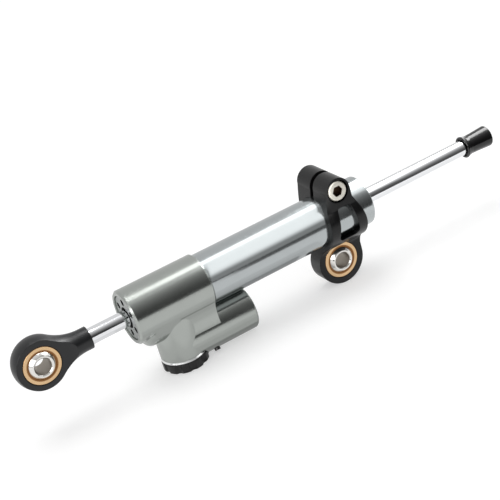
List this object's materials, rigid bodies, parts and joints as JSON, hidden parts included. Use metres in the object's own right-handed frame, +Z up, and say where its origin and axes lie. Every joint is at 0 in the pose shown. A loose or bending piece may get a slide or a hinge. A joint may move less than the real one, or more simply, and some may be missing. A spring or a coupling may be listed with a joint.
{
  "type": "steering damper",
  "caption": "Linear motorcycle steering damper with a through rod, ball-joint eye and tube clamp, side oil chamber and click adjuster",
  "frame": {"origin": "centre of the rod eye's ball, at the left end of the rod", "axes": "+X along the rod to the end stop, +Y along both ball bores towards the back, +Z up from the adjuster knob to the clamp's bolt"},
  "size_m": [0.2728, 0.0308, 0.059],
  "materials": {
    "grey_anodised": "satin grey anodised",
    "bright_tube": "bright drawn and clear anodised",
    "gland_aluminium": "turned",
    "bright_aluminium": "bright turned",
    "black_anodised": "satin black anodised",
    "knob_black": "black anodised",
    "rod_chrome": "hard chromed and polished",
    "race_bronze": "bronze, machined",
    "bush_bronze": "sintered bronze",
    "ball_steel": "ground and polished steel",
    "bolt_zinc": "zinc plated",
    "spindle_steel": "turned",
    "spring_steel": "oiled spring steel",
    "screw_black": "black oxide",
    "stop_rubber": "moulded",
    "seal_rubber": "moulded",
    "ptfe_band": "filled PTFE"
  },
  "bodies": {
    "housing": {"head_body": "grey_anodised", "main_tube": "bright_tube", "tube_oring": "seal_rubber", "front_gland": "gland_aluminium", "front_wiper": "seal_rubber", "front_bush": "bush_bronze", "front_rod_seal": "seal_rubber", "front_gland_oring": "seal_rubber", "rear_gland": "gland_aluminium", "rear_wiper": "seal_rubber", "rear_bush": "bush_bronze", "rear_rod_seal": "seal_rubber", "rear_gland_oring": "seal_rubber", "adjuster_collar": "bright_aluminium", "click_ball": "ball_steel", "click_spring": "spring_steel", "reservoir_cap": "gland_aluminium", "reservoir_cap_oring": "seal_rubber", "reservoir_clip": "spring_steel", "reservoir_spring": "spring_steel", "bleed_screw": "screw_black"},
    "piston_assembly": {"piston": "gland_aluminium", "piston_band": "ptfe_band"},
    "rod_assembly": {"piston_rod": "rod_chrome", "piston_clips": "spring_steel", "rod_eye": "black_anodised", "rod_eye_race": "race_bronze", "end_stop": "stop_rubber"},
    "rod_eye_ball": {"rod_eye_ball": "ball_steel"},
    "clamp_assembly": {"clamp_bracket": "black_anodised", "clamp_bolt": "bolt_zinc", "clamp_race": "race_bronze"},
    "clamp_ball": {"clamp_ball": "ball_steel"},
    "adjuster": {"adjuster_knob": "knob_black", "adjuster_spindle": "spindle_steel", "spindle_oring": "seal_rubber", "knob_screw": "screw_black"},
    "needle": {"adjuster_needle": "spindle_steel", "needle_oring": "seal_rubber"},
    "floating_piston": {"floating_piston": "gland_aluminium", "floating_piston_oring": "seal_rubber"}
  },
  "joints": [
    {"name": "rod_slide", "type": "slide", "parent": "housing", "child": "piston_assembly", "axis": [1, 0, 0], "range_m": [-0.06, 0.018]},
    {"name": "rod_turn", "type": "hinge", "parent": "piston_assembly", "child": "rod_assembly", "pos_m": [0.135, 0, 0], "axis": [1, 0, 0], "continuous": true},
    {"name": "rod_eye_tilt", "type": "hinge", "parent": "rod_assembly", "child": "rod_eye_ball", "pos_m": [0, 0, 0], "axis": [0, 0, 1], "range_deg": [-13, 13]},
    {"name": "clamp_slide", "type": "slide", "parent": "housing", "child": "clamp_assembly", "axis": [1, 0, 0], "range_m": [-0.038, 0.006]},
    {"name": "clamp_eye_tilt", "type": "hinge", "parent": "clamp_assembly", "child": "clamp_ball", "pos_m": [0.1582, 0, -0.023], "axis": [1, 0, 0], "range_deg": [-13, 13]},
    {"name": "knob_turn", "type": "hinge", "parent": "housing", "child": "adjuster", "pos_m": [0.0663, 0, -0.033], "axis": [0, 0, 1], "range_deg": [-165, 165]},
    {"name": "needle_lift", "type": "slide", "parent": "housing", "child": "needle", "axis": [0, 0, 1], "range_m": [-0.00037, 0.00037]},
    {"name": "reservoir_travel", "type": "slide", "parent": "housing", "child": "floating_piston", "axis": [1, 0, 0], "range_m": [-0.004, 0.002], "stiffness_N_per_m": 4000, "deforming": ["reservoir_spring"]}
  ],
  "couplings": [
    {"joint": "needle_lift", "follows": "knob_turn", "m_per_rad": 0.00012732}
  ]
}
